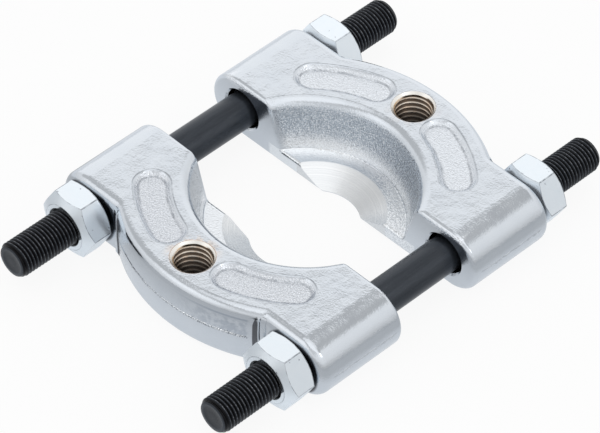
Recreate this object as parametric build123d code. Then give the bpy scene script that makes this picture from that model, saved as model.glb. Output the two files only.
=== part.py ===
"""A bearing separator: two cast half-ring jaws on two studs, with four hexagon nuts.

Lengths are millimetres. X runs across the two studs, Y along them, and Z is up. The jaws'
flat bottom lies on Z = 0, and the rear jaw's ring is centred on the Z axis.
"""

import math
import os

from build123d import *

# Driving dimensions
jaw_height = 25.0
ring_outer_radius = 69.3
ring_band_width = 27.0
mating_offset = 18.9
jaws_gap = 36.1
stud_diameter = 14.0
stud_length = 187.4
puller_thread_diameter = 15.875

# The casting: its parting line, and what grinding its bottom flat took off
parting_height = jaw_height / 2
ground_off = 0.6
outer_draft_angle = 1.8
casting_height = jaw_height + ground_off

# Cavity: a cone down to a flat ledge
cavity_top_radius = ring_outer_radius - ring_band_width
cavity_wall_angle = 14.6
ledge_height = 5.6
cavity_wall_lean = math.tan(math.radians(cavity_wall_angle))
cavity_foot_radius = cavity_top_radius - (jaw_height - ledge_height) * cavity_wall_lean

# Knife: a machined cone from a thin land up to the ledge, off the ring's centre
knife_set_off = 0.32
knife_centre_offset = knife_set_off * mating_offset
knife_land_radius = 16.5
knife_land_height = 0.35
knife_spread = 1.83
knife_top_radius = knife_land_radius + (ledge_height - knife_land_height) * knife_spread
knife_tip_rounding = 5.0

# Ears: straight blocks, with a half round about the middle of the casting's height
band_middle = (ring_outer_radius + cavity_top_radius) / 2
stud_inset = 17.365
stud_height = jaw_height / 2
stud_offset = ring_outer_radius - stud_inset
ear_outer_half_width = 15.87
ear_inner_half_width = 22.0
ear_side_offset = stud_offset + ear_outer_half_width
ear_inner_offset = stud_offset - ear_inner_half_width
ear_end_step = 1.9
ear_end_offset = band_middle + ear_end_step
ear_round_radius = casting_height / 2
ear_round_offset = ear_side_offset - ear_round_radius
ear_bore_clearance = 1.25
ear_bore_radius = stud_diameter / 2 + ear_bore_clearance
ear_bore_chamfer = 0.8

# Puller hole through the crown of the ring
hole_offset = band_middle
hole_radius = puller_thread_diameter / 2
hole_chamfer = 0.8

# Kidney recesses, one on each side of the puller hole
recess_inset = 0.5
recess_arc_radius = band_middle - recess_inset
recess_half_width = 6.9
recess_depth = 1.7
recess_wall_angle = 49.6
recess_start_angle = 16.7
recess_end_angle = 42.3

# Roundings of the casting
outer_rounding = 3.7
mating_rounding = 1.9
crease_rounding = 1.8
rim_rounding = 5.0
rim_lift = 0.05
foot_rounding = 0.6
wall_end_rounding = 1.6
recess_rounding = 0.8

# Studs
stud_end_chamfer_length = 1.6
stud_end_chamfer_depth = 1.0

# Nuts, sized from the stud
nut_flats_share = 12 / 7
nut_height_share = 0.914
nut_face_share = 0.394
nut_flats = nut_flats_share * stud_diameter
nut_height = nut_height_share * stud_diameter
nut_face_radius = nut_face_share * nut_flats
nut_chamfer_angle = 30
nut_bore_clearance = 0.05
nut_bore_radius = stud_diameter / 2 + nut_bore_clearance
nut_countersink = 0.9

# The front jaw's ring centre: its mating face stands a gap in front of the rear jaw's
front_ring_centre = 2 * mating_offset - jaws_gap

# How near two lengths are that count as the same, and how far past its work a cutting shape reaches
same = 0.01
beyond = 1.0

# How deep the ring's disc ends inside the ears, and how far inward the outer wall's drafted edges lie
ring_end_overlap = 2.0
wall_edge_reach = 3.0


def turned(points):
    """The solid that an outline of (radius, height) points makes when it is turned about Z."""
    return revolve(Plane.XZ * make_face(Polyline(*points, close=True)), Axis.Z)


def middle(edge):
    return edge.position_at(0.5)


def ring_radius(point):
    """How far a point is from the ring's own axis."""
    return math.hypot(point.X, point.Y)


def arcs_at(solid, height, inner_radius, outer_radius):
    """The round edges at a height whose middles lie in a band about the ring's axis."""
    return [
        edge
        for edge in solid.edges()
        if edge.geom_type == GeomType.CIRCLE
        and abs(middle(edge).Z - height) < same
        and inner_radius < ring_radius(middle(edge)) < outer_radius
    ]


def ring_blank():
    """The disc that the half ring is cut from, only as wide as the ears' inner part."""
    lean = math.tan(math.radians(outer_draft_angle))
    top_radius = ring_outer_radius - (jaw_height - parting_height) * lean
    bottom_radius = ring_outer_radius - (parting_height + ground_off) * lean
    disc = turned(
        [
            (0, -ground_off),
            (bottom_radius, -ground_off),
            (ring_outer_radius, parting_height),
            (top_radius, jaw_height),
            (0, jaw_height),
        ]
    )
    kept = Box(
        2 * (stud_offset - ring_end_overlap),
        ring_outer_radius,
        casting_height,
        align=(Align.CENTER, Align.MIN, Align.MIN),
    )
    return disc & Pos(0, mating_offset, -ground_off) * kept


def ear_blank():
    """The right ear, from the mating face to the face that its nut bears on."""
    top_corner = (ear_inner_offset, jaw_height)
    bottom_corner = (ear_inner_offset, -ground_off)
    round_top = (ear_round_offset, jaw_height)
    round_bottom = (ear_round_offset, -ground_off)
    round_side = (ear_side_offset, jaw_height - ear_round_radius)
    outline = Line(round_top, top_corner)
    outline += Line(top_corner, bottom_corner)
    outline += Line(bottom_corner, round_bottom)
    outline += ThreePointArc(round_bottom, round_side, round_top)
    length = ear_end_offset - mating_offset
    return Pos(0, mating_offset, 0) * extrude(Plane.XZ * make_face(outline), -length)


def on_crease(edge):
    """Whether an edge is where an ear's end face meets the ring's outer wall."""
    point = middle(edge)
    upright = abs(edge.tangent_at(0.5).Z) > 0.9
    on_end_face = abs(point.Y - ear_end_offset) < same
    return upright and on_end_face and abs(point.X) < ear_round_offset


def on_outer_loop(edge):
    """Whether an edge is on the loop round the ring's outer wall and the ears' end faces."""
    point = middle(edge)
    on_end_face = abs(point.Y - ear_end_offset) < same
    if abs(point.X) > ear_round_offset + same:
        return on_end_face
    flat = abs(edge.tangent_at(0.5).Z) < same and abs(point.Z - parting_height) > same
    behind = point.Y > mating_offset + same
    at_wall = ring_radius(point) > ring_outer_radius - wall_edge_reach
    return flat and behind and (on_end_face or at_wall)


def casting():
    """The jaw as cast, with its bottom ground flat, before anything else is cut."""
    right_ear = ear_blank()
    blank = ring_blank() + right_ear + mirror(right_ear, Plane.YZ)
    blank = fillet(blank.edges().filter_by(on_crease), crease_rounding)
    blank = fillet(blank.edges().filter_by(on_outer_loop), outer_rounding)
    mating_loop = [e for e in blank.edges() if abs(middle(e).Y - mating_offset) < same]
    blank = fillet(mating_loop, mating_rounding)
    return blank & Box(
        2 * (ear_side_offset + beyond),
        2 * (ring_outer_radius + beyond),
        jaw_height + beyond,
        align=(Align.CENTER, Align.CENTER, Align.MIN),
    )


def on_wall_end(edge):
    """Whether an edge is where the cavity's wall runs out into the mating face."""
    point = middle(edge)
    inside = ear_inner_offset < abs(point.X) < cavity_top_radius + rim_rounding
    return abs(point.Y - mating_offset) < same and inside and point.Z > ledge_height + same


def with_cavity(jaw):
    """Cuts the cavity down to the ledge, with its foot, its rim and its two ends rounded."""
    above = jaw_height + beyond
    # The rounding meets the top at a slight angle, because its tangent plane lies a little above
    rim_height = jaw_height + rim_lift
    rim = (cavity_top_radius + rim_lift * cavity_wall_lean, rim_height)
    foot = (cavity_foot_radius, ledge_height)
    outside_radius = cavity_top_radius + 2 * rim_rounding
    outline = make_face(
        Polyline(
            (0, ledge_height),
            foot,
            rim,
            (outside_radius, rim_height),
            (outside_radius, above),
            (0, above),
            close=True,
        )
    )
    for corner, rounding in ((foot, foot_rounding), (rim, rim_rounding)):
        outline = fillet(outline.vertices().sort_by_distance((*corner, 0))[0], rounding)
    jaw -= revolve(Plane.XZ * outline, Axis.Z)
    return fillet(jaw.edges().filter_by(on_wall_end), wall_end_rounding)


def with_knife(jaw):
    """Cuts the knife's cone and land, and rounds the two tips where they meet the mating face."""
    below = -beyond
    above = ledge_height + beyond
    cone = turned(
        [
            (0, below),
            (knife_land_radius, below),
            (knife_land_radius, knife_land_height),
            (knife_top_radius + beyond * knife_spread, above),
            (0, above),
        ]
    )
    jaw -= Pos(0, knife_centre_offset, 0) * cone
    behind = Pos(0, mating_offset + ring_outer_radius, 0) * Rectangle(
        4 * ring_outer_radius, 2 * ring_outer_radius
    )
    plan = behind - Pos(0, knife_centre_offset) * Circle(knife_land_radius)
    tips = [
        v
        for v in plan.vertices()
        if abs(v.Y - mating_offset) < same and abs(v.X) < ring_outer_radius
    ]
    plan = fillet(tips, knife_tip_rounding)
    return jaw & extrude(plan, jaw_height + beyond)


def recess():
    """One kidney recess: a slot along an arc, with sloped walls."""
    arc = CenterArc(
        (0, 0),
        recess_arc_radius,
        90 - recess_end_angle,
        recess_end_angle - recess_start_angle,
    )
    mouth = Pos(0, 0, jaw_height) * SlotArc(arc, 2 * recess_half_width)
    return extrude(mouth, -recess_depth, taper=recess_wall_angle)


def with_recesses(jaw):
    """Sinks the two kidney recesses into the top, and rounds their rims and floors."""
    right = recess()
    jaw -= right
    jaw -= mirror(right, Plane.YZ)
    inner = recess_arc_radius - recess_half_width - same
    outer = recess_arc_radius + recess_half_width + same
    for height in (jaw_height, jaw_height - recess_depth):
        jaw = fillet(arcs_at(jaw, height, inner, outer), recess_rounding)
    return jaw


def with_holes(jaw):
    """Drills the puller hole and the two stud bores, each chamfered at both ends."""
    hole = turned(
        [
            (0, 0),
            (hole_radius + hole_chamfer, 0),
            (hole_radius, hole_chamfer),
            (hole_radius, jaw_height - hole_chamfer),
            (hole_radius + hole_chamfer, jaw_height),
            (0, jaw_height),
        ]
    )
    jaw -= Pos(0, hole_offset, 0) * hole
    length = ear_end_offset - mating_offset
    bore = turned(
        [
            (0, 0),
            (ear_bore_radius + ear_bore_chamfer, 0),
            (ear_bore_radius, ear_bore_chamfer),
            (ear_bore_radius, length - ear_bore_chamfer),
            (ear_bore_radius + ear_bore_chamfer, length),
            (0, length),
        ]
    )
    for side in (1, -1):
        jaw -= Pos(side * stud_offset, mating_offset, stud_height) * Rot(-90, 0, 0) * bore
    return jaw


def stud():
    """One stud along Y, at its major diameter, with its ends chamfered."""
    radius = stud_diameter / 2
    end_radius = radius - stud_end_chamfer_depth
    half = stud_length / 2
    bar = turned(
        [
            (0, -half),
            (end_radius, -half),
            (radius, -half + stud_end_chamfer_length),
            (radius, half - stud_end_chamfer_length),
            (end_radius, half),
            (0, half),
        ]
    )
    return Rot(-90, 0, 0) * bar


def nut():
    """One nut along +Y from the origin, with a flat up, chamfered and countersunk both ends."""
    hexagon = RegularPolygon(nut_flats / 2, 6, major_radius=False)
    corner_radius = nut_flats / math.sqrt(3) + beyond
    drop = (corner_radius - nut_face_radius) * math.tan(math.radians(nut_chamfer_angle))
    chamfers = turned(
        [
            (0, 0),
            (nut_face_radius, 0),
            (corner_radius, drop),
            (corner_radius, nut_height - drop),
            (nut_face_radius, nut_height),
            (0, nut_height),
        ]
    )
    bore = turned(
        [
            (0, 0),
            (nut_bore_radius + nut_countersink, 0),
            (nut_bore_radius, nut_countersink),
            (nut_bore_radius, nut_height - nut_countersink),
            (nut_bore_radius + nut_countersink, nut_height),
            (0, nut_height),
        ]
    )
    body = (extrude(hexagon, nut_height) & chamfers) - bore
    return Rot(-90, 0, 0) * body


def separator():
    """Every piece in its place, by name."""
    jaw = with_holes(with_recesses(with_knife(with_cavity(casting()))))
    to_front = Pos(0, front_ring_centre, 0) * Rot(0, 0, 180)
    pieces = {"rear_jaw": jaw, "front_jaw": to_front * jaw}
    for side, x in (("left", -stud_offset), ("right", stud_offset)):
        pieces[f"{side}_stud"] = Pos(x, 0, stud_height) * stud()
        pieces[f"rear_{side}_nut"] = Pos(x, ear_end_offset, stud_height) * nut()
        front_nut_start = front_ring_centre - ear_end_offset - nut_height
        pieces[f"front_{side}_nut"] = Pos(x, front_nut_start, stud_height) * nut()
    return pieces


os.makedirs("parts", exist_ok=True)
for name, solid in separator().items():
    export_step(solid, f"parts/{name}.step")
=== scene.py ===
"""The looks of the bearing separator: its materials, threads, studio and camera.

Lengths are metres unless a name ends in _MM or _mm. The CAD nodes stay where they are.
"""

import math
from types import SimpleNamespace

import bmesh
import bpy
from mathutils import Matrix, Vector, noise


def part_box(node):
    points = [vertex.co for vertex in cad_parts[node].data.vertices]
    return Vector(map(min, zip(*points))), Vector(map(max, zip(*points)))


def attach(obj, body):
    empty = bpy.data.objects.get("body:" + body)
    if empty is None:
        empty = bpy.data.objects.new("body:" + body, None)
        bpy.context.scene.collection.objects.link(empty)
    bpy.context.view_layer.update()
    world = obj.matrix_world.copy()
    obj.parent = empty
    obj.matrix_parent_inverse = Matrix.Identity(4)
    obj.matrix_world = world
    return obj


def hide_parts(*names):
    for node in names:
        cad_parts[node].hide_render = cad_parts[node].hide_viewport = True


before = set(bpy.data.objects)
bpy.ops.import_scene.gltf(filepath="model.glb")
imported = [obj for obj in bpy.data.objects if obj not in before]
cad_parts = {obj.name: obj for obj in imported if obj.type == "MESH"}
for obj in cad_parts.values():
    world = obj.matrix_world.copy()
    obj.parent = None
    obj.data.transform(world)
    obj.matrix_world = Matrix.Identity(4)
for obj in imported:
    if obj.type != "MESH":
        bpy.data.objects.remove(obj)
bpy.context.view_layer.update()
MM = 0.001

# The camera, set from the photograph's angle
CAMERA_PLACE_MM = (780.095, -758.742, 1092.825)
CAMERA_RIGHT = (0.69644, 0.71761, 0.0)
CAMERA_UP = (-0.50678, 0.49183, 0.70801)
CAMERA_AHEAD = (-0.50808, 0.49309, -0.70620)
CAMERA_LENS = 256.19
CAMERA_SENSOR = 36.0
CAMERA_RANGE = (0.01, 100.0)

# Places in the rear jaw's own frame; the front jaw is the same, half a turn round
FRONT_RING_CENTRE_MM = 1.7
MATING_OFFSET_MM = 18.9
EAR_END_MM = 57.7
EAR_SIDE_MM = 67.8
JAW_HEIGHT_MM = 25.0
PARTING_MM = 12.5
RING_OUTER_MM = 69.3
OUTER_ROUNDING_MM = 3.7
DRAFT = math.radians(1.8)
LEDGE_MM = 5.6
KNIFE_CENTRE_MM = 6.05
KNIFE_TOP_MM = 26.11
CREASE_MM = 35.4
RECESS_ARC_MM = 55.3
RECESS_FOOT_MM = 4.9
RECESS_LIP_MM = 7.05
RECESS_START = math.radians(16.7)
RECESS_END = math.radians(42.3)

# The puller hole; its mouth is a little smaller than the solid's
HOLE_OFFSET_MM = 55.8
HOLE_LIP_MM = 8.17
HOLE_CREST_MM = 6.72
HOLE_ROOT_MM = 7.9
HOLE_PITCH_MM = 25.4 / 11

# The nuts, in pairs on both sides of a middle plane across the studs
NUTS_MIDDLE_MM = 0.85
NUT_PLACE_MM = 63.248
NUT_HALF_MM = 6.398
NUT_FACE_MM = 9.456

# The studs
STUD_OFFSET_MM = 51.935
STUD_RADIUS_MM = 7.0
STUD_HALF_MM = 93.7
STUD_PITCH_MM = 1.5
STUD_THREAD_MM = 60.0
STUD_THREAD_DEPTH_MM = 0.92
STUD_END_RADIUS_MM = 6.0
STUD_END_CHAMFER_MM = 1.6

# How many points make a circle
AROUND = 72
# Points nearer than this become one
WELD_MM = 0.001


def link(obj):
    bpy.context.scene.collection.objects.link(obj)
    return obj


def mesh_object(name, points_mm, faces, material, smooth=True):
    """A mesh object from points in millimetres."""
    mesh = bpy.data.meshes.new(name)
    mesh.from_pydata([tuple(float(c) * MM for c in p) for p in points_mm], [], faces)
    mesh.validate()
    mesh.polygons.foreach_set("use_smooth", [smooth] * len(mesh.polygons))
    mesh.materials.append(material)
    return link(bpy.data.objects.new(name, mesh))


def weld(obj):
    """Joins points that lie on each other and drops the faces that this closes."""
    work = bmesh.new()
    work.from_mesh(obj.data)
    bmesh.ops.remove_doubles(work, verts=work.verts, dist=WELD_MM * MM)
    bmesh.ops.dissolve_degenerate(work, dist=WELD_MM * MM / 2, edges=work.edges)
    bmesh.ops.recalc_face_normals(work, faces=work.faces)
    work.to_mesh(obj.data)
    work.free()
    obj.data.polygons.foreach_set("use_smooth", [True] * len(obj.data.polygons))
    return obj


def half_turn(points):
    """Carries a piece from the rear jaw's place to the front jaw's."""
    return [(-x, FRONT_RING_CENTRE_MM - y, z) for x, y, z in points]


def circle(radius, height, centre_y=0.0):
    """The points of a circle about a line along Z."""
    points = []
    for k in range(AROUND):
        angle = 2 * math.pi * k / AROUND
        points.append((radius * math.cos(angle), centre_y + radius * math.sin(angle), height))
    return points


def band(first):
    """The faces between the circle that starts at a point's number and the next circle."""
    faces = []
    for k in range(AROUND):
        after = (k + 1) % AROUND
        faces.append((first + k, first + AROUND + k, first + AROUND + after, first + after))
    return faces


# Shader nodes

# Which sockets of a Mix node hold its first value, its second value and its result
MIX_SOCKETS = {"FLOAT": (2, 3, 0), "VECTOR": (4, 5, 1), "RGBA": (6, 7, 2)}
# The detail and roughness of the noise that patches are cut from
PATCH_NOISE = (2.0, 0.6)


class Nodes:
    """A node tree, with short calls to add nodes."""

    def __init__(self, tree):
        self.nodes = tree.nodes
        self.links = tree.links

    def add(self, kind, settings=None, **sockets):
        made = self.nodes.new(kind)
        for name, value in (settings or {}).items():
            setattr(made, name, value)
        for name, value in sockets.items():
            self.feed(made.inputs[name], value)
        return made

    def feed(self, socket, value):
        """Gives a socket a number, a colour, a direction or another node's output."""
        if isinstance(value, bpy.types.NodeSocket):
            self.links.new(value, socket)
        elif socket.type == "RGBA":
            socket.default_value = (*value, 1.0)
        else:
            socket.default_value = value

    def axes(self, vector):
        return self.add("ShaderNodeSeparateXYZ", Vector=vector).outputs

    def math(self, operation, first, second=0.0):
        made = self.add("ShaderNodeMath", {"operation": operation})
        self.feed(made.inputs[0], first)
        self.feed(made.inputs[1], second)
        return made.outputs[0]

    def plus(self, first, second):
        return self.math("ADD", first, second)

    def less(self, first, second):
        return self.math("SUBTRACT", first, second)

    def rest(self, share):
        return self.math("SUBTRACT", 1.0, share)

    def size(self, value):
        return self.math("ABSOLUTE", value)

    def times(self, first, *others):
        for other in others:
            first = self.math("MULTIPLY", first, other)
        return first

    def either(self, first, *others):
        """The largest of some shares."""
        for other in others:
            first = self.math("MAXIMUM", first, other)
        return first

    def length(self, first, second):
        """How long a line is, from its two sides."""
        return self.math("SQRT", self.plus(self.times(first, first), self.times(second, second)))

    def step(self, value, low, high):
        """Nought below low and one above high, with a smooth rise; the other way if low is above high."""
        made = self.add("ShaderNodeMapRange", {"interpolation_type": "SMOOTHSTEP"})
        if low < high:
            ends = (low, high, 0.0, 1.0)
        else:
            ends = (high, low, 1.0, 0.0)
        self.feed(made.inputs["Value"], value)
        for name, end in zip(("From Min", "From Max", "To Min", "To Max"), ends):
            made.inputs[name].default_value = end
        return made.outputs["Result"]

    def near(self, value, middle, far, close):
        """One within close of a middle and nought past far from it."""
        return self.step(self.size(self.less(value, middle)), far, close)

    def mixed(self, kind, factor, first, second):
        made = self.add("ShaderNodeMix", {"data_type": kind})
        low, high, result = MIX_SOCKETS[kind]
        self.feed(made.inputs[0], factor)
        self.feed(made.inputs[low], first)
        self.feed(made.inputs[high], second)
        return made.outputs[result]

    def mix(self, factor, first, second):
        """A number between two numbers."""
        return self.mixed("FLOAT", factor, first, second)

    def blend(self, factor, first, second):
        """A colour between two colours."""
        return self.mixed("RGBA", factor, first, second)

    def mix_ways(self, factor, first, second):
        """A direction between two directions."""
        return self.mixed("VECTOR", factor, first, second)

    def noise(self, place, scale, detail=1.0, roughness=0.5):
        made = self.add(
            "ShaderNodeTexNoise", Vector=place, Scale=scale, Detail=detail, Roughness=roughness
        )
        return made.outputs["Fac"]

    def patches(self, place, scale, low, high):
        """One in ragged patches and nought between them."""
        return self.step(self.noise(place, scale, *PATCH_NOISE), low, high)

    def bump(self, height, distance_mm=1.0, strength=1.0):
        made = self.add("ShaderNodeBump", Height=height, Strength=strength, Distance=distance_mm * MM)
        return made.outputs["Normal"]


class Shader(Nodes):
    """A material's nodes, with the measures that several materials share."""

    def __init__(self, name):
        self.material = bpy.data.materials.new(name)
        self.material.use_nodes = True
        super().__init__(self.material.node_tree)
        self.surface = self.nodes["Principled BSDF"]

    def place_mm(self, turned=False):
        """The place in millimetres, in the part's frame or in the front jaw's own."""
        coords = self.add("ShaderNodeTexCoord").outputs["Object"]
        mapping = self.add("ShaderNodeMapping", {"vector_type": "POINT"}, Vector=coords)
        mapping.inputs["Scale"].default_value = (1 / MM,) * 3
        if turned:
            mapping.inputs["Rotation"].default_value = (0, 0, math.pi)
            mapping.inputs["Location"].default_value = (0, FRONT_RING_CENTRE_MM, 0)
        return mapping.outputs[0]

    def stud_ring(self, x, z):
        """The distance from the nearer stud's axis, in millimetres."""
        return self.length(self.less(self.size(x), STUD_OFFSET_MM), self.less(z, PARTING_MM))

    def finish(self, colour, roughness, normal, metallic=1.0):
        self.feed(self.surface.inputs["Base Color"], colour)
        self.feed(self.surface.inputs["Roughness"], roughness)
        self.feed(self.surface.inputs["Normal"], normal)
        self.surface.inputs["Metallic"].default_value = metallic
        return self.material


# The jaws' plate. Each pair named _SPAN is where a share is nought and where it is one. Those
# with _MM are lengths or heights in the jaw's own frame, and the others are parts of one.

MATING_SPAN_MM = (MATING_OFFSET_MM + 0.5, MATING_OFFSET_MM)
EAR_END_SPAN_MM = (EAR_END_MM - 0.5, EAR_END_MM)
END_FACE_SPAN = (0.97, 0.995)
UNDERSIDE_SPAN_MM = (0.4, 0.0)
KNIFE_RING_SPAN_MM = (KNIFE_TOP_MM + 0.25, KNIFE_TOP_MM - 0.15)
KNIFE_HEIGHT_SPAN_MM = (LEDGE_MM + 0.3, LEDGE_MM - 0.1)
WALL_RING_SPAN_MM = (43.4, 40.2)
WALL_FOOT_SPAN_MM = (LEDGE_MM, LEDGE_MM + 0.6)
WALL_END_SPAN_MM = (MATING_OFFSET_MM + 0.2, MATING_OFFSET_MM + 3.5)
LEDGE_RING_SPAN_MM = (42.6, 41.0)
LEDGE_HEIGHT_SPAN_MM = (LEDGE_MM + 0.6, LEDGE_MM)
RECESS_INNER_SPAN_MM = (46.0, 48.0)
RECESS_OUTER_SPAN_MM = (64.0, 62.5)
RECESS_TOP_SPAN_MM = (JAW_HEIGHT_MM - 0.15, JAW_HEIGHT_MM - 0.9)
RECESS_FLOOR_SPAN_MM = (JAW_HEIGHT_MM - 3.0, JAW_HEIGHT_MM - 2.0)
ROUNDING_SPANS = ((0.985, 0.93), (0.1, 0.3))
OUTER_WALL_SPAN_MM = (67.0, 68.5)
OUTER_WALL_END_SPAN_MM = (33.5, 32.5)

# The sizes of the casting's grain, in waves to a millimetre
WAVE_SCALE = 0.20
PEBBLE_SCALE = 0.95
GRAIN_SCALE = 1.7
SPARKLE_SCALE = 2.1
SKIN_PATCH_SCALE = 0.09
# A noise, here and below: its scale, its detail and its roughness if that isn't a half
TONE_NOISE = (0.12, 2.0)
MARKS_NOISE = (2.0, 2.0, 0.6)
# How much faster the turning marks change across the knife than down it
MARKS_STRETCH = (5.0, 0.5)

# How high each grain stands, in millimetres: on the skin, the cavity's wall, the recesses and the knife
SKIN_WAVE_MM = 0.15
SKIN_PEBBLE_MM = 0.045
SKIN_GRAIN_MM = 0.085
WALL_PEBBLE_MM = 0.14
WALL_SPARKLE_MM = (0.30, 0.14)
WALL_SPARKLE_SPAN_MM = (14.0, 7.0)
RECESS_PEBBLE_MM = 0.06
RECESS_GRAIN_MM = 0.22
KNIFE_MARKS_MM = 0.020
KNIFE_WAVE_MM = 0.05
# Where patches of the skin are grainiest, and what is left of the grain between them
SKIN_PATCH_SPAN = (0.40, 0.62)
SKIN_PATCH_LEAST = 0.45
# What is left of the grain on the roundings, and on the smoother end of a ledge
ROUNDING_GRAIN = 0.45
SMOOTHER_GRAIN = 0.3
SMOOTHER_SPAN_MM = (4.0, -8.0)
# The box over each crease in which the faces are shaded flat
OVER_CREASE_Z_SPANS_MM = ((21.4, 21.6), (23.6, 23.4))
OVER_CREASE_X_SPANS_MM = ((33.0, 33.2), (40.2, 40.0))
OVER_CREASE_Y_SPAN_MM = (54.0, 54.2)

# Pairs of values for the rear jaw and for the front one: how strongly the plate is stained round
# the hole, how strongly the recesses' grain has darker pits and painted glints, the colours of the
# wall's top, painted shade on the rear jaw and painted light on the front one, and of the recesses
STAIN = (0.22, 0.75)
RECESS_PITS_AND_GLINTS = (0.30, 0.50)
WALL_TOP_LIGHT_AND_SHADE_COLOURS = ((0.50, 0.555, 0.615), (0.86, 0.89, 0.92))
RECESS_COLOURS = ((0.72, 0.755, 0.80), (0.66, 0.69, 0.735))

PLATE_COLOURS = ((0.595, 0.635, 0.685), (0.65, 0.685, 0.725))
CAST_COLOUR = (0.66, 0.695, 0.74)
LEDGE_COLOURS = ((0.80, 0.83, 0.86), (0.66, 0.69, 0.73))
KNIFE_COLOURS = ((0.70, 0.72, 0.74), (0.785, 0.80, 0.81))
# The painted highlight toward the cavity wall's foot, also the colour of the painted glints on the
# grain's tips
PAINTED_HIGHLIGHT_COLOUR = (0.96, 0.97, 0.98)
PIT_COLOUR = (0.30, 0.33, 0.37)
PAINTED_GLINT_COLOUR = (0.95, 0.96, 0.97)
STAIN_COLOUR = (0.72, 0.62, 0.54)
RUST_COLOUR = (0.66, 0.47, 0.36)
# Grey for dirt in the parting line's grains, for painted shade along the recesses, and for the dark lines
# on the nuts' edges
GREY_DIRT_AND_SHADE_COLOUR = (0.22, 0.24, 0.27)
# Near black, for the painted shade in the creases and in the gap behind each nut
PAINTED_SHADE_COLOUR = (0.045, 0.045, 0.05)
# The painted shade on the outer wall over the parting line
SHADE_BAND_COLOUR = (0.40, 0.44, 0.50)

PLATE_ROUGHNESS = (0.10, 0.15)
CAST_ROUGHNESS = 0.17
FLAT_ROUGHNESS = 0.10
KNIFE_ROUGHNESS = 0.26


def jaw_places(s, turned):
    """Where a point lies in its jaw's own frame, which way it faces, and the grain there."""
    place = s.place_mm(turned)
    x, y, z = s.axes(place)
    geometry = s.add("ShaderNodeNewGeometry").outputs
    way = s.axes(geometry["Normal"])
    knife_ring = s.length(x, s.less(y, KNIFE_CENTRE_MM))
    # The knife's turning marks run round its own axis
    across, down = MARKS_STRETCH
    turning = s.add("ShaderNodeCombineXYZ", X=s.times(knife_ring, across), Y=s.times(z, down))
    return SimpleNamespace(
        turned=turned,
        place=place,
        x=x,
        y=y,
        z=z,
        side=s.size(x),
        facing_along=s.size(way[1]),
        facing_up=way[2],
        flat_way=geometry["True Normal"],
        ring=s.length(x, y),
        knife_ring=knife_ring,
        wave=s.noise(place, WAVE_SCALE),
        pebble=s.noise(place, PEBBLE_SCALE),
        grain=s.noise(place, GRAIN_SCALE),
        sparkle=s.noise(place, SPARKLE_SCALE),
        tone=s.noise(place, *TONE_NOISE),
        marks=s.noise(turning.outputs[0], *MARKS_NOISE),
    )


def jaw_finishes(s, at):
    """Where each finish is, from nought to one."""
    on = SimpleNamespace()
    facing_end = s.step(at.facing_along, *END_FACE_SPAN)
    mating = s.times(s.step(at.y, *MATING_SPAN_MM), facing_end)
    ear_end = s.times(s.step(at.y, *EAR_END_SPAN_MM), facing_end)
    on.smooth_face = s.either(mating, ear_end, s.step(at.z, *UNDERSIDE_SPAN_MM))
    on.knife = s.times(
        s.step(at.knife_ring, *KNIFE_RING_SPAN_MM),
        s.step(at.z, *KNIFE_HEIGHT_SPAN_MM),
    )
    on.wall = s.times(
        s.step(at.ring, *WALL_RING_SPAN_MM),
        s.step(at.z, *WALL_FOOT_SPAN_MM),
        s.step(at.y, *WALL_END_SPAN_MM),
    )
    on.ledge = s.times(
        s.step(at.ring, *LEDGE_RING_SPAN_MM),
        s.step(at.z, *LEDGE_HEIGHT_SPAN_MM),
        s.rest(on.knife),
    )
    on.recess = s.times(
        s.step(at.z, *RECESS_TOP_SPAN_MM),
        s.step(at.z, *RECESS_FLOOR_SPAN_MM),
        s.step(at.ring, *RECESS_INNER_SPAN_MM),
        s.step(at.ring, *RECESS_OUTER_SPAN_MM),
    )
    on.rough_cast = s.either(on.wall, on.ledge, on.recess)
    # The roundings were rubbed smoother than the flat skin of the casting
    on.rounding = s.times(
        s.step(at.facing_up, *ROUNDING_SPANS[0]),
        s.step(at.facing_up, *ROUNDING_SPANS[1]),
        s.rest(on.rough_cast),
    )
    # The rear jaw's ledge is smoother at one end, and the front jaw's all along
    on.smoother = on.ledge
    if not at.turned:
        on.smoother = s.times(on.ledge, s.step(at.x, *SMOOTHER_SPAN_MM))
    on.outer_wall = s.times(
        s.step(at.ring, *OUTER_WALL_SPAN_MM),
        s.step(at.side, *OUTER_WALL_END_SPAN_MM),
    )
    return on


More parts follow.
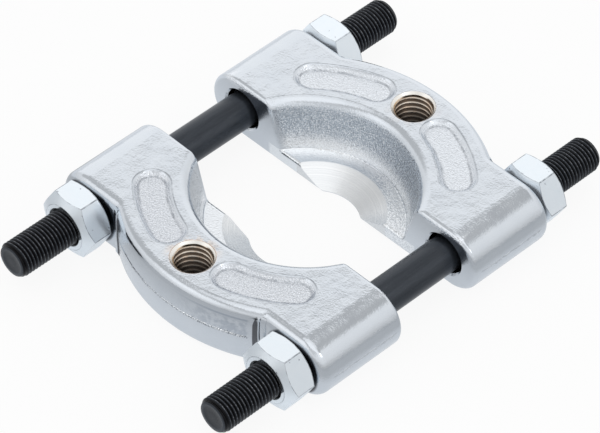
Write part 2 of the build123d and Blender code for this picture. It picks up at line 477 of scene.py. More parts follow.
def jaw_relief(s, at, on):
    """The grain of the sand casting under the plate, and the knife's turning marks."""
    patches = s.step(s.noise(at.place, SKIN_PATCH_SCALE), *SKIN_PATCH_SPAN)
    patches = s.mix(patches, SKIN_PATCH_LEAST, 1.0)
    skin = s.plus(s.times(at.wave, SKIN_WAVE_MM), s.times(at.pebble, SKIN_PEBBLE_MM))
    skin = s.plus(skin, s.times(at.grain, patches, SKIN_GRAIN_MM))
    sparkle_height = s.mix(s.step(at.z, *WALL_SPARKLE_SPAN_MM), *WALL_SPARKLE_MM)
    coarse = s.plus(s.times(at.pebble, WALL_PEBBLE_MM), s.times(at.sparkle, sparkle_height))
    # The floors of the recesses are less coarse than the cavity's wall
    fine = s.plus(s.times(at.pebble, RECESS_PEBBLE_MM), s.times(at.grain, RECESS_GRAIN_MM))
    coarse = s.mix(on.recess, coarse, fine)
    coarse = s.mix(on.smoother, coarse, s.times(fine, SMOOTHER_GRAIN))
    machined = s.plus(s.times(at.marks, KNIFE_MARKS_MM), s.times(at.wave, KNIFE_WAVE_MM))

    skin_share = s.rest(s.either(on.smooth_face, on.knife, on.rough_cast))
    skin_share = s.times(skin_share, s.mix(on.rounding, 1.0, ROUNDING_GRAIN))
    normal = s.mix_ways(skin_share, s.bump(machined), s.bump(skin))
    normal = s.mix_ways(on.rough_cast, normal, s.bump(coarse))
    # Over the crease the faces are small and shaded flat
    over_crease = s.times(
        s.step(at.y, *OVER_CREASE_Y_SPAN_MM),
        *(s.step(at.z, *span) for span in OVER_CREASE_Z_SPANS_MM),
        *(s.step(at.side, *span) for span in OVER_CREASE_X_SPANS_MM),
    )
    return s.mix_ways(over_crease, normal, at.flat_way)


# Where the wall's top takes its painted shade, which is painted light on the front jaw, and where
# the painted highlight toward the wall's foot is full, and where the rear jaw's ledge is duller, as
# the front jaw's is a little all along
WALL_TOP_SPAN_MM = (8.0, 17.0)
WALL_PAINTED_LIGHT_SPAN_MM = (13.0, 7.0)
LEDGE_MIDDLE_SPAN_MM = (14.0, 5.0)
FRONT_LEDGE_MIDDLE = 0.2
# The sparkle's noise at which a darker pit or a painted glint on a grain's tip begins and is full,
# and how much each colours the plate. Also what is left of the pits where the wall's painted
# highlight is brightest, and what a ledge has of pits and painted glints where it is rough and where it
# is smooth.
PIT_SPAN = (0.50, 0.36)
PIT_SHARE = 0.55
PITS_UNDER_PAINTED_LIGHT = 0.35
GLINT_SPAN = (0.52, 0.66)
GLINT_SHARE = 0.65
LEDGE_PITS_AND_GLINTS = (0.6, 0.12)
CUT_SPAN = (0.40, 0.62)


def plate_colour_and_painted_light(s, at, on):
    """The plate's colour on each finish with its darker pits, painted shade and light on the cavity's
    wall, and painted glints on the grain's tips.
    """
    colour = s.blend(at.tone, *PLATE_COLOURS)
    colour = s.blend(on.rough_cast, colour, CAST_COLOUR)
    colour = s.blend(on.recess, colour, RECESS_COLOURS[at.turned])
    # Painted shade on the rear jaw's wall top and painted light on the front jaw's, and a painted
    # highlight toward the wall's foot
    painted_wall_top = s.times(on.wall, s.step(at.z, *WALL_TOP_SPAN_MM))
    colour = s.blend(painted_wall_top, colour, WALL_TOP_LIGHT_AND_SHADE_COLOURS[at.turned])
    painted_wall_light = s.times(on.wall, s.step(at.z, *WALL_PAINTED_LIGHT_SPAN_MM))
    colour = s.blend(painted_wall_light, colour, PAINTED_HIGHLIGHT_COLOUR)
    middle = FRONT_LEDGE_MIDDLE if at.turned else s.step(at.side, *LEDGE_MIDDLE_SPAN_MM)
    colour = s.blend(on.ledge, colour, s.blend(middle, *LEDGE_COLOURS))
    # The grain's pits are darker, and its tips get painted glints
    ledge_grain = s.times(on.ledge, s.mix(on.smoother, *LEDGE_PITS_AND_GLINTS))
    grainy = s.either(on.wall, s.times(on.recess, RECESS_PITS_AND_GLINTS[at.turned]), ledge_grain)
    pit_share = s.times(grainy, s.mix(painted_wall_light, 1.0, PITS_UNDER_PAINTED_LIGHT), PIT_SHARE)
    pits = s.times(s.step(at.sparkle, *PIT_SPAN), pit_share)
    painted_glints = s.times(s.step(at.sparkle, *GLINT_SPAN), grainy, GLINT_SHARE)
    colour = s.blend(pits, colour, PIT_COLOUR)
    colour = s.blend(painted_glints, colour, PAINTED_HIGHLIGHT_COLOUR)
    knife_colour = s.blend(s.step(at.marks, *CUT_SPAN), *KNIFE_COLOURS)
    return s.blend(on.knife, colour, knife_colour)


TOP_FACE_SPAN_MM = (24.0, 24.9)
# The stain lies toward a diagonal, which has this part of its length along each axis
DIAGONAL = 0.7
STAIN_SIDE_SPAN_MM = (-3.0, 5.0)
STAIN_RING_SPAN_MM = (HOLE_LIP_MM + 3.6, HOLE_LIP_MM + 0.2)
# Patches, here and below: their scale, and the noise at which they begin and are full
STAIN_PATCHES = (0.35, 0.44, 0.58)
STAIN_SHARE = 0.75
RUST_RING_SPAN_MM = (HOLE_LIP_MM + 0.50, HOLE_LIP_MM + 0.05)
RUST_LEAST = 0.7


def stained_hole(s, at, colour):
    """A stain that ran to one side of the hole, and rust on its rim."""
    from_hole = s.less(at.y, HOLE_OFFSET_MM)
    hole_ring = s.length(at.x, from_hole)
    top_face = s.step(at.z, *TOP_FACE_SPAN_MM)
    toward = s.times(s.less(at.x, from_hole), DIAGONAL)
    stained_side = s.step(toward, *STAIN_SIDE_SPAN_MM)
    stain = s.times(
        s.step(hole_ring, *STAIN_RING_SPAN_MM),
        top_face,
        s.patches(at.place, *STAIN_PATCHES),
        stained_side,
        STAIN_SHARE * STAIN[at.turned],
    )
    colour = s.blend(stain, colour, STAIN_COLOUR)
    rust = s.times(
        s.step(hole_ring, *RUST_RING_SPAN_MM),
        top_face,
        s.mix(stained_side, RUST_LEAST, 1.0),
        STAIN[at.turned],
    )
    return s.blend(rust, colour, RUST_COLOUR)


# The parting line's half width, where its grains end and are full, and where they thin out
LINE_HALF_MM = (0.85, 0.35)
LINE_ALONG_SPAN_MM = (22.0, -22.0)
LINE_LEAST = 0.35
DARK_GRAIN_SPAN = (0.50, 0.38)
PARTING_GLINT_SPAN = (0.54, 0.66)


def parting_grains(s, at, on, colour):
    """Dark grains of dirt, and bright grains as painted glints, along the parting line, more of them
    toward one end.
    """
    line = s.times(
        s.near(at.z, PARTING_MM, *LINE_HALF_MM),
        on.outer_wall,
        s.mix(s.step(at.x, *LINE_ALONG_SPAN_MM), LINE_LEAST, 1.0),
    )
    dark = s.times(line, s.step(at.sparkle, *DARK_GRAIN_SPAN))
    parting_glints = s.times(line, s.step(at.sparkle, *PARTING_GLINT_SPAN))
    return s.blend(parting_glints, s.blend(dark, colour, GREY_DIRT_AND_SHADE_COLOUR), PAINTED_GLINT_COLOUR)


# The crease's painted shade widens downward from a point under the top edge, to its full half width
CREASE_WIDENS_SPAN_MM = (24.0, 18.5)
CREASE_HALF_MM = 0.95
CREASE_EDGE_MM = 0.12
CREASE_Y_SPAN_MM = (55.0, 57.0)
CREASE_Z_SPAN_MM = (23.4, 22.8)
CREASE_SHARE = 0.85
# The gap's painted shade lies round the stud, on the end of the ear
GAP_RING_SPAN_MM = (13.3, 12.2)
GAP_Y_SPAN_MM = (EAR_END_MM - 0.6, EAR_END_MM - 0.2)
GAP_SHARE = 0.93


def painted_crease_and_gap_shade(s, at, colour):
    """Painted shade in the creases beside the ears, and in the gap behind each nut."""
    half = s.times(s.step(at.z, *CREASE_WIDENS_SPAN_MM), CREASE_HALF_MM)
    from_crease = s.size(s.less(at.side, CREASE_MM))
    crease = s.times(
        s.step(s.less(from_crease, half), CREASE_EDGE_MM, -CREASE_EDGE_MM),
        s.step(at.y, *CREASE_Y_SPAN_MM),
        s.step(at.z, *CREASE_Z_SPAN_MM),
        CREASE_SHARE,
    )
    gap = s.times(
        s.step(s.stud_ring(at.x, at.z), *GAP_RING_SPAN_MM),
        s.step(at.y, *GAP_Y_SPAN_MM),
        GAP_SHARE,
    )
    return s.blend(s.either(crease, gap), colour, PAINTED_SHADE_COLOUR)


# The half widths of the lines at the foot and the lip, where they end and are full
FOOT_LINE_HALF_MM = (0.62, 0.15)
LIP_LINE_HALF_MM = (0.42, 0.08)
LIP_LINE_SHARE = 0.8
RECESS_LINE_SPAN_MM = (22.5, 23.0)
RECESS_LINE_PATCHES = (0.30, 0.40, 0.60)
RECESS_LINE_LEAST = 0.35
RECESS_LINE_SHARE = 0.55


def painted_recess_shade_lines(s, at, colour):
    """Painted shade along the foot and the rim of each recess."""
    angle = s.math("ARCTAN2", at.side, at.y)
    angle = s.math("MINIMUM", s.math("MAXIMUM", angle, RECESS_START), RECESS_END)
    off_x = s.less(at.side, s.times(s.math("SINE", angle), RECESS_ARC_MM))
    off_y = s.less(at.y, s.times(s.math("COSINE", angle), RECESS_ARC_MM))
    out = s.length(off_x, off_y)
    foot = s.near(out, RECESS_FOOT_MM, *FOOT_LINE_HALF_MM)
    lip = s.times(s.near(out, RECESS_LIP_MM, *LIP_LINE_HALF_MM), LIP_LINE_SHARE)
    lines = s.times(
        s.either(foot, lip),
        s.step(at.z, *RECESS_LINE_SPAN_MM),
        s.mix(s.patches(at.place, *RECESS_LINE_PATCHES), RECESS_LINE_LEAST, 1.0),
        RECESS_LINE_SHARE,
    )
    return s.blend(lines, colour, GREY_DIRT_AND_SHADE_COLOUR)


# The painted shade band's foot, top and patches, and the line of painted shade under the rounding
SHADE_BAND_FOOT_SPAN_MM = (PARTING_MM, PARTING_MM + 1.2)
SHADE_BAND_TOP_SPAN_MM = (21.5, 18.5)
SHADE_BAND_PATCHES = (0.45, 0.36, 0.60)
SHADE_BAND_SHARE = 0.6
SHADE_BAND_END_SPAN_MM = (2.0, -26.0)
UNDER_ROUNDING_MM = 20.6
UNDER_ROUNDING_HALF_MM = (0.8, 0.2)
UNDER_ROUNDING_SHARE = 0.8


def painted_wall_shade_band(s, at, on, colour):
    """Painted shade on the wall over the parting line toward one end, darkest under the rounding."""
    shade_band = s.times(
        s.step(at.z, *SHADE_BAND_FOOT_SPAN_MM),
        s.step(at.z, *SHADE_BAND_TOP_SPAN_MM),
        s.patches(at.place, *SHADE_BAND_PATCHES),
        SHADE_BAND_SHARE,
    )
    under = s.near(at.z, UNDER_ROUNDING_MM, *UNDER_ROUNDING_HALF_MM)
    shade_band = s.either(shade_band, s.times(under, UNDER_ROUNDING_SHARE))
    toward_end = s.times(on.outer_wall, s.step(at.x, *SHADE_BAND_END_SPAN_MM))
    return s.blend(s.times(shade_band, toward_end), colour, SHADE_BAND_COLOUR)


def jaw_material(name, turned):
    """Satin plate over a grainy casting, machined on the knife, ground on the flat faces."""
    s = Shader(name)
    at = jaw_places(s, turned)
    on = jaw_finishes(s, at)
    colour = plate_colour_and_painted_light(s, at, on)
    colour = stained_hole(s, at, colour)
    colour = parting_grains(s, at, on, colour)
    colour = painted_crease_and_gap_shade(s, at, colour)
    colour = painted_recess_shade_lines(s, at, colour)
    colour = painted_wall_shade_band(s, at, on, colour)
    rough = s.mix(at.tone, *PLATE_ROUGHNESS)
    rough = s.mix(on.rough_cast, rough, CAST_ROUGHNESS)
    rough = s.mix(on.smooth_face, rough, FLAT_ROUGHNESS)
    rough = s.mix(on.knife, rough, KNIFE_ROUGHNESS)
    return s.finish(colour, rough, jaw_relief(s, at, on))


# The nuts

ZINC_COLOURS = ((0.81, 0.88, 0.94), (0.87, 0.92, 0.965))
ZINC_ROUGHNESS = (0.26, 0.36)
ZINC_METAL = 0.95
ZINC_TONE_NOISE = (0.25, 3.0, 0.6)
KNOCK_COLOUR = (0.35, 0.37, 0.42)
KNOCK_SCALE = 0.28
KNOCK_SPAN = (0.16, 0.08)
KNOCKED_NOISE = (0.9, 2.0)
KNOCKED_SPAN = (0.5, 0.6)
NUT_GRAIN_NOISE = (1.6, 2.0)
NUT_GRAIN_HEIGHT = 0.12
NUT_RELIEF_MM = 0.08
NUT_CHAMFER = math.radians(30)
NUT_FLAT_SPAN = (0.3, 0.1)
NUT_EDGE_SPAN_MM = (0.34, 0.16)
NUT_CORNER_SPAN_MM = (13.66, 13.76)
NUT_RIM_HALF_MM = (0.26, 0.10)
NUT_RIM_SHARE = 0.6
NUT_EDGE_PATCHES = (0.45, 0.40, 0.60)
NUT_EDGE_LEAST = 0.45
NUT_EDGE_SHARE = 0.8
NUT_END_SPAN = (0.97, 0.99)
NUT_END_SPAN_MM = (10.6, 10.2)
NUT_END_ROUGHNESS = 0.07
# Painted shade and a painted reflection of the stud in each nut's thread mouth
MOUTH_SHADE_COLOUR = (0.03, 0.035, 0.04)
MOUTH_SHADE_SPAN_MM = (8.05, 7.75)
MOUTH_SHADE_SHARE = 0.92


def nut_material():
    """Bright zinc with small knocks."""
    s = Shader("nut_zinc")
    place = s.place_mm()
    x, y, z = s.axes(place)
    tone = s.noise(place, *ZINC_TONE_NOISE)
    knocks = s.add("ShaderNodeTexVoronoi", {"feature": "F1"}, Vector=place, Scale=KNOCK_SCALE)
    knocks = s.step(knocks.outputs["Distance"], *KNOCK_SPAN)
    knocks = s.times(knocks, s.step(s.noise(place, *KNOCKED_NOISE), *KNOCKED_SPAN))
    grain = s.times(s.noise(place, *NUT_GRAIN_NOISE), NUT_GRAIN_HEIGHT)
    normal = s.bump(s.less(grain, knocks), NUT_RELIEF_MM)
    # A dark line runs along the flats' edges
    radius = s.stud_ring(x, z)
    along = s.size(s.less(y, NUTS_MIDDLE_MM))
    from_end = s.less(NUT_HALF_MM, s.size(s.less(along, NUT_PLACE_MM)))
    chamfer = s.times(s.less(radius, NUT_FACE_MM), math.tan(NUT_CHAMFER))
    facing_along = s.size(s.axes(s.add("ShaderNodeNewGeometry").outputs["Normal"])[1])
    flat = s.step(facing_along, *NUT_FLAT_SPAN)
    edge = s.step(s.less(from_end, chamfer), *NUT_EDGE_SPAN_MM)
    edge = s.times(s.either(edge, s.step(radius, *NUT_CORNER_SPAN_MM)), flat)
    rim = s.times(s.near(radius, NUT_FACE_MM, *NUT_RIM_HALF_MM), s.rest(flat), NUT_RIM_SHARE)
    patches = s.mix(s.patches(place, *NUT_EDGE_PATCHES), NUT_EDGE_LEAST, 1.0)
    edge = s.times(s.either(edge, rim), patches, NUT_EDGE_SHARE)
    # The thread's mouth is dark with painted shade in the countersink and a painted reflection of the
    # black stud
    mouth_shade = s.times(s.step(radius, *MOUTH_SHADE_SPAN_MM), MOUTH_SHADE_SHARE)
    colour = s.blend(tone, *ZINC_COLOURS)
    colour = s.blend(knocks, colour, KNOCK_COLOUR)
    colour = s.blend(edge, colour, GREY_DIRT_AND_SHADE_COLOUR)
    colour = s.blend(mouth_shade, colour, MOUTH_SHADE_COLOUR)
    end_face = s.times(s.step(facing_along, *NUT_END_SPAN), s.step(radius, *NUT_END_SPAN_MM))
    rough = s.mix(end_face, s.mix(tone, *ZINC_ROUGHNESS), NUT_END_ROUGHNESS)
    return s.finish(colour, rough, normal, ZINC_METAL)


# The studs

OXIDE_COLOURS = ((0.034, 0.039, 0.048), (0.060, 0.068, 0.080))
OXIDE_ROUGHNESS = (0.22, 0.40)
OXIDE_METAL = 0.8
OXIDE_NOISE = (2.4, 3.0, 0.6)
# The streaks run along the stud
STREAK_STRETCH = (1.0, 0.08, 1.0)
STREAK_NOISE = (1.4, 3.0, 0.6)
STREAK_HEIGHT = 0.5
STUD_RELIEF_MM = 0.012
SPECK_COLOUR = (0.08, 0.085, 0.09)
SPECK_SCALE = 1.8
SPECK_SPAN = (0.72, 0.78)
STUD_THREAD_START_MM = STUD_HALF_MM - STUD_THREAD_MM
STUD_THREAD_SPANS_MM = (
    (STUD_THREAD_START_MM, STUD_THREAD_START_MM + 1),
    (STUD_HALF_MM, STUD_HALF_MM - 0.3),
)
STUD_CREST_SPAN_MM = (STUD_RADIUS_MM - 0.16, STUD_RADIUS_MM - 0.03)
STUD_ROOT_SPAN_MM = (STUD_RADIUS_MM - 0.35, STUD_RADIUS_MM - 0.7)
WORN_NOISE = (1.1, 3.0, 0.7)
WORN_SPAN = (0.46, 0.72)
WORN_COLOUR = (0.22, 0.23, 0.25)
FLANK_COLOUR = (0.016, 0.018, 0.022)
ROOT_COLOUR = (0.004, 0.004, 0.005)


def stud_material():
    """Black oxide over rolled steel, a little worn on the crests."""
    s = Shader("stud_black_oxide")
    place = s.place_mm()
    x, y, z = s.axes(place)
    along = s.add("ShaderNodeVectorMath", {"operation": "MULTIPLY"})
    s.feed(along.inputs[0], place)
    s.feed(along.inputs[1], STREAK_STRETCH)
    streaks = s.noise(along.outputs[0], *STREAK_NOISE)
    grain = s.noise(place, *OXIDE_NOISE)
    colour = s.blend(streaks, *OXIDE_COLOURS)
    colour = s.blend(s.step(s.noise(place, SPECK_SCALE), *SPECK_SPAN), colour, SPECK_COLOUR)
    # The crests of the threads are burnished, and the flanks and roots are darker
    radius = s.stud_ring(x, z)
    from_middle = s.size(y)
    threaded = s.times(*(s.step(from_middle, *span) for span in STUD_THREAD_SPANS_MM))
    crest = s.times(s.step(radius, *STUD_CREST_SPAN_MM), threaded)
    root = s.times(s.step(radius, *STUD_ROOT_SPAN_MM), threaded)
    worn = s.times(crest, s.step(s.noise(place, *WORN_NOISE), *WORN_SPAN))
    colour = s.blend(worn, colour, WORN_COLOUR)
    colour = s.blend(s.times(threaded, s.rest(crest)), colour, FLANK_COLOUR)
    colour = s.blend(root, colour, ROOT_COLOUR)
    normal = s.bump(s.plus(grain, s.times(streaks, STREAK_HEIGHT)), STUD_RELIEF_MM)
    return s.finish(colour, s.mix(grain, *OXIDE_ROUGHNESS), normal, OXIDE_METAL)


# The puller holes

CUT_COLOURS = ((0.66, 0.53, 0.42), (0.72, 0.66, 0.58))
CUT_ROUGHNESS = (0.25, 0.4)
CUT_NOISE = (2.0, 2.0)
CUT_RELIEF_MM = 0.05
CUT_RELIEF_STRENGTH = 0.3
TINT_NOISE = (0.35, 3.0, 0.6)
TINT_SPAN = (0.35, 0.65)
HOLE_ROOT_SPAN_MM = (HOLE_CREST_MM + 0.10, HOLE_CREST_MM + 0.55)
HOLE_ROOT_COLOUR = (0.085, 0.062, 0.046)
DEEP_SPAN_MM = (JAW_HEIGHT_MM - 4, JAW_HEIGHT_MM - 13)
DEEP_SHARE = 0.9
DEEP_SHADE_COLOUR = (0.03, 0.025, 0.022)
LIP_SPAN_MM = (JAW_HEIGHT_MM - 1.45, JAW_HEIGHT_MM - 1.15)
LIP_COLOUR = (0.86, 0.84, 0.80)
LIP_RUST_SPAN_MM = (JAW_HEIGHT_MM - 0.80, JAW_HEIGHT_MM - 1.10)
LIP_RUST_SPAN = (0.34, 0.50)
LIP_RUST_COLOUR = (0.74, 0.50, 0.27)


def thread_material(name, centre_y_mm):
    """Bare cut steel with an old oily tint, dark in the roots, with painted shade deep in the hole."""
    s = Shader(name)
    place = s.place_mm()
    x, y, z = s.axes(place)
    tint = s.noise(place, *TINT_NOISE)
    radius = s.length(x, s.less(y, centre_y_mm))
    colour = s.blend(s.step(tint, *TINT_SPAN), *CUT_COLOURS)
    colour = s.blend(s.step(radius, *HOLE_ROOT_SPAN_MM), colour, HOLE_ROOT_COLOUR)
    # Painted shade deep in the hole
    colour = s.blend(s.times(s.step(z, *DEEP_SPAN_MM), DEEP_SHARE), colour, DEEP_SHADE_COLOUR)
    # The plain lip is bright, with rust at its lower edge
    rust = s.times(s.step(z, *LIP_RUST_SPAN_MM), s.step(tint, *LIP_RUST_SPAN))
    lip = s.blend(rust, LIP_COLOUR, LIP_RUST_COLOUR)
    colour = s.blend(s.step(z, *LIP_SPAN_MM), colour, lip)
    normal = s.bump(s.noise(place, *CUT_NOISE), CUT_RELIEF_MM, CUT_RELIEF_STRENGTH)
    return s.finish(colour, s.mix(tint, *CUT_ROUGHNESS), normal)


# Threads

# The outline of one thread: how far along the pitch each point is, and how deep, from crest to root
THREAD_OUTLINE = (
    (-0.10, 0.07),
    (-0.05, 0.0),
    (0.05, 0.0),
    (0.10, 0.07),
    (0.36, 0.93),
    (0.43, 1.0),
    (0.57, 1.0),
    (0.64, 0.93),
)
# The turns past both ends of a thread, which are pressed flat onto them
SPARE_TURNS = 3
# How deep the plain lip reaches into the hole, and over how much the thread then grows
LIP_DEPTH_MM = 1.05
LIP_FADE_MM = 0.4
# How fast the stud's thread runs out into the plain middle
RUN_OUT_SLOPE = 0.3
# A rim's outline: its radius, and how far it lies under the jaw's face
RIM_OUTLINE_MM = ((8.80, 0.005), (8.40, 0.005), (8.34, 0.008), (8.24, 0.035), (8.17, 0.11))
# Each end face has a slight hollow ring and a low flat centre, as a sawn and chamfered bar
STUD_END_OUTLINE_MM = ((STUD_END_RADIUS_MM, 0.0), (4.9, 0.02), (4.4, -0.10), (2.0, -0.12), (0.4, -0.10))


def thread_points(low, high, pitch, crest, root, limit):
    """The points and faces of a right-hand thread along Z, from low to high.

    limit gives the surface's real radius from (height, the thread's own radius).
    """
    turns = math.ceil((high - low) / pitch) + SPARE_TURNS
    start = low - SPARE_TURNS / 2 * pitch
    rows = len(THREAD_OUTLINE)
    points = []
    for column in range(turns * AROUND + 1):
        turn = column / AROUND
        angle = 2 * math.pi * turn
        for along, depth in THREAD_OUTLINE:
            height = start + (turn + along) * pitch
            height = min(max(height, low), high)
            radius = limit(height, crest + (root - crest) * depth)
            points.append((radius * math.cos(angle), radius * math.sin(angle), height))
    faces = []
    for column in range(turns * AROUND):
        base = column * rows
        for row in range(rows - 1):
            faces.append((base + row, base + rows + row, base + rows + row + 1, base + row + 1))
        above = base + AROUND * rows
        if above + rows < len(points):
            faces.append((base + rows - 1, base + 2 * rows - 1, above + rows, above))
    return points, faces


def hole_thread(name, body, centre_y_mm, material):
    """The puller thread in one jaw's hole, which begins under a plain lip at both ends."""

    def limit(height, radius):
        from_face = min(height, JAW_HEIGHT_MM - height)
        lip = HOLE_LIP_MM - from_face
        share = min(max((from_face - LIP_DEPTH_MM) / LIP_FADE_MM, 0.0), 1.0)
        share *= share * (3 - 2 * share)
        return lip + (max(radius, lip) - lip) * share

    points, faces = thread_points(
        0.0, JAW_HEIGHT_MM, HOLE_PITCH_MM, HOLE_CREST_MM, HOLE_ROOT_MM, limit
    )
    points = [(x, y + centre_y_mm, z) for x, y, z in points]
    thread = weld(mesh_object(name, points, faces, material))
    thread.data.flip_normals()
    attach(thread, body)


def hole_rims(name, body, centre_y_mm, material):
    """The plate's rim round both mouths of a puller hole, rolled over at its edge."""
    points = []
    faces = []
    for face_height, down in ((JAW_HEIGHT_MM, -1), (0.0, 1)):
        first = len(points)
        for radius, under in RIM_OUTLINE_MM:
            points += circle(radius, face_height + down * under, centre_y_mm)
        for ring in range(len(RIM_OUTLINE_MM) - 1):
            for face in band(first + ring * AROUND):
                faces.append(face if down < 0 else face[::-1])
    rims = mesh_object(name, points, faces, material)
    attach(rims, body)


def stud(name, material):
    """A stud with both its threads, standing for the CAD's plain one."""
    low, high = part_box(name)
    middle = (low + high) / 2 / MM
    lean = (STUD_RADIUS_MM - STUD_END_RADIUS_MM) / STUD_END_CHAMFER_MM

    def limit(height, radius):
        chamfer = STUD_END_RADIUS_MM + (STUD_HALF_MM - height) * lean
        run_out = STUD_RADIUS_MM - (height - STUD_THREAD_START_MM) * RUN_OUT_SLOPE
        return max(min(radius, chamfer), min(run_out, STUD_RADIUS_MM), STUD_END_RADIUS_MM)

    root = STUD_RADIUS_MM - STUD_THREAD_DEPTH_MM
    outer, outer_faces = thread_points(
        STUD_THREAD_START_MM, STUD_HALF_MM, STUD_PITCH_MM, STUD_RADIUS_MM, root, limit
    )
    # Half a turn about X carries one end to the other and keeps the thread right-handed
    points = outer + [(x, -y, -z) for x, y, z in outer]
    faces = outer_faces + [tuple(len(outer) + i for i in face) for face in outer_faces]
    faces += band(len(points))
    points += circle(STUD_RADIUS_MM, STUD_THREAD_START_MM)
    points += circle(STUD_RADIUS_MM, -STUD_THREAD_START_MM)
    for side in (1, -1):
        for radius, rise in STUD_END_OUTLINE_MM:
            if radius < STUD_END_RADIUS_MM:
                faces += band(len(points) - AROUND)
            points += circle(radius, side * (STUD_HALF_MM + rise))
        faces.append(tuple(range(len(points) - AROUND, len(points))))
    # Z of the bar goes along +Y of the part
    points = [(middle[0] + x, middle[1] + z, middle[2] - y) for x, y, z in points]
    made = weld(mesh_object(name + "_threaded", points, faces, material))
    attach(made, name)
    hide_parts(name)


# Cast lines

# How far the points of a bead are apart along it, how many lie across it, how deep its edges are
# sunk, and over how many steps each end fades out
BEAD_STEP_MM = 0.35
BEAD_ACROSS = 7
BEAD_SUNK_MM = 0.06
BEAD_FADE_STEPS = 6
BEAD_LOW_MM = 0.01
# How far a bead wanders, its grain and the slower swell of its height, and their scales
BEAD_WANDER_MM = 0.12
BEAD_WANDER_SCALE = 0.25
BEAD_GRAIN_SCALE = 1.3
BEAD_GRAIN_ACROSS = 3
BEAD_SWELL = 0.6
BEAD_SWELL_SCALE = 0.3
# Each bead's half width and height in millimetres, and how rough it is
PARTING_BEAD = (0.60, 0.34, 1.0)
RIDGE_BEAD = (0.46, 0.50, 0.15)

# Where the lines run
RING_LINE_REACH = math.radians(28.5)
RING_LINE_STRENGTH = (0.35, 1.0)
EAR_LINE_STRENGTH = 0.5
EAR_LINE_START_MM = 21.4
EAR_LINE_END_MM = 53.4
CREASE_RIDGE_MM = 36.5
RIDGE_FOOT_MM = 1.0
CREASE_TOP_MM = 23.4
WEB_START_MM = 36.9
WEB_END_MM = 39.0
WEB_FOOT_MM = 0.8
WEB_ROWS = 32
# How far a web stands off the solid
WEB_PROUD_MM = 0.04


def rounded_back(z):
    """How far the rounding takes the jaw's outer side back at a height."""
    over = max(0.0, z - JAW_HEIGHT_MM + OUTER_ROUNDING_MM)
    return OUTER_ROUNDING_MM - math.sqrt(OUTER_ROUNDING_MM**2 - over**2)


def outer_radius(z):
    """The radius of the ring's drafted outer wall at a height."""
    return RING_OUTER_MM - abs(z - PARTING_MM) * math.tan(DRAFT) - rounded_back(z)


def bead(name, body, turned, material, runs, half_width, height, roughness):
    """A low rough bead on a casting, along runs of (foot, way out, way across, strength)."""
    points = []
    faces = []
    for run in runs:
        first = len(points)
        for at, (foot, out, side, strength) in enumerate(run):
            fade = min(1.0, at / BEAD_FADE_STEPS, (len(run) - 1 - at) / BEAD_FADE_STEPS)
            wander = side * (BEAD_WANDER_MM * noise.noise(foot * BEAD_WANDER_SCALE))
            for k in range(BEAD_ACROSS):
                share = 2 * k / (BEAD_ACROSS - 1) - 1
                spot = foot * BEAD_GRAIN_SCALE + side * (BEAD_GRAIN_ACROSS * share)
                rough = noise.noise(spot) + BEAD_SWELL * noise.noise(spot * BEAD_SWELL_SCALE)
                round_top = math.sqrt(1 - share * share)
                rise = height * (1 + roughness * rough) * round_top * strength * fade
                rise -= BEAD_SUNK_MM * abs(share) ** 3 + BEAD_LOW_MM
                points.append(tuple(foot + wander + out * rise + side * (share * half_width)))
        for at in range(len(run) - 1):
            for k in range(BEAD_ACROSS - 1):
                a = first + at * BEAD_ACROSS + k
                faces.append((a, a + 1, a + BEAD_ACROSS + 1, a + BEAD_ACROSS))
    if turned:
        points = half_turn(points)
    made = mesh_object(name, points, faces, material)
    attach(made, body)


def parting_line(end, turned, material):
    """What is left of the flash where the mould's halves met, round the ring and along both ears."""
    up = Vector((0, 0, 1))
    ring_run = []
    weak, strong = RING_LINE_STRENGTH
    count = round(2 * RING_LINE_REACH * RING_OUTER_MM / BEAD_STEP_MM)
    for k in range(count + 1):
        way = RING_LINE_REACH * (2 * k / count - 1)
        out = Vector((-math.sin(way), math.cos(way), 0))
        # It grows towards one end of the ring
        strength = weak + (strong - weak) * (way / RING_LINE_REACH + 1) / 2
        ring_run.append((out * RING_OUTER_MM + up * PARTING_MM, out, up, strength))
    runs = [ring_run]
    count = round((EAR_LINE_END_MM - EAR_LINE_START_MM) / BEAD_STEP_MM)
    for side in (-1, 1):
        run = []
        for k in range(count + 1):
            foot = Vector((side * EAR_SIDE_MM, EAR_LINE_START_MM + k * BEAD_STEP_MM, PARTING_MM))
            run.append((foot, Vector((side, 0, 0)), up, EAR_LINE_STRENGTH))
        runs.append(run)
    bead(f"{end}_parting_line", f"{end}_jaw", turned, material, runs, *PARTING_BEAD)


def crease_ridges(end, turned, material):
    """A ridge beside each crease, which leans in with the rounding at its top."""
    up = Vector((0, 0, 1))
    runs = []
    count = round((CREASE_TOP_MM - RIDGE_FOOT_MM) / BEAD_STEP_MM)
    for side in (-1, 1):
        way = side * math.asin(CREASE_RIDGE_MM / RING_OUTER_MM)
        out = Vector((math.sin(way), math.cos(way), 0))
        along = Vector((math.cos(way), -math.sin(way), 0))
        run = []
        for k in range(count + 1):
            z = RIDGE_FOOT_MM + k * BEAD_STEP_MM
            run.append((out * outer_radius(z) + up * z, out, along, 1.0))
        runs.append(run)
    bead(f"{end}_crease_ridges", f"{end}_jaw", turned, material, runs, *RIDGE_BEAD)


